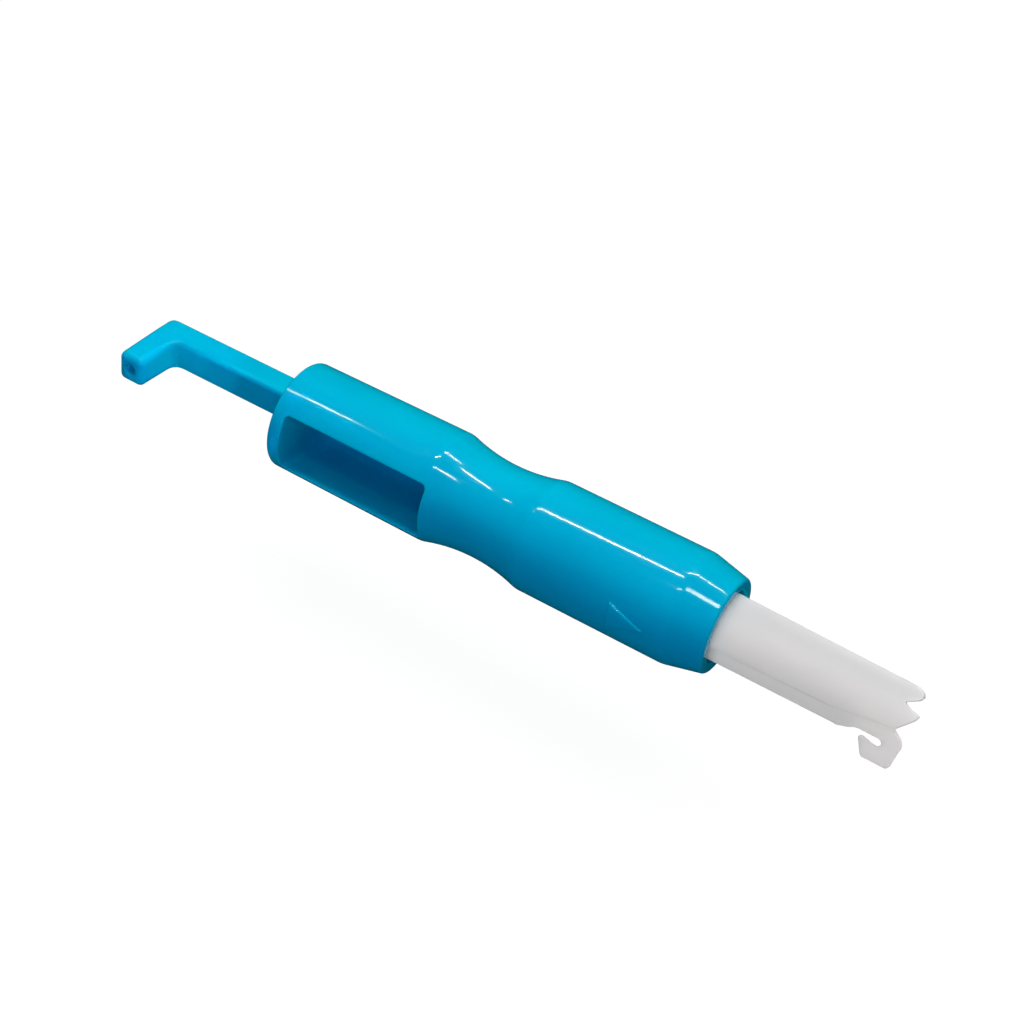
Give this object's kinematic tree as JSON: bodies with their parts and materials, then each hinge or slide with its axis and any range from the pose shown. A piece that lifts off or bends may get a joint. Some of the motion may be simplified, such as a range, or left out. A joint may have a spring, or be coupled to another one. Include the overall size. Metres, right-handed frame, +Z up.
{
  "type": "sewing machine needle inserter and threader",
  "caption": "Pen-sized hand tool with an L-shaped needle inserter arm at one end and a spring-loaded, fork-tipped needle threader with a thread hook at the other.",
  "frame": {"origin": "on the tool's axis, in the middle of the handle's front grip", "axes": "+X along the tool towards the threader tip; +Z up; the window, the triangle mark and the inserter's short leg face -Y"},
  "size_m": [0.0946, 0.0127, 0.0126],
  "materials": {
    "handle": "gloss, opaque cyan blue",
    "threader_sleeve": "milky translucent white, semi-matt",
    "threading_pin": "drawn wire",
    "pin_holder": "natural moulding",
    "return_spring": "spring wire"
  },
  "bodies": {
    "grip": {"handle": "handle", "pin_holder": "pin_holder", "threading_pin": "threading_pin", "return_spring": "return_spring"},
    "sleeve": {"threader_sleeve": "threader_sleeve"}
  },
  "joints": [
    {"name": "sleeve_slide", "type": "slide", "parent": "grip", "child": "sleeve", "axis": [-1, 0, 0], "range_m": [0, 0.004], "stiffness_N_per_m": 200, "springref_m": -0.003, "deforming": ["return_spring"]}
  ]
}
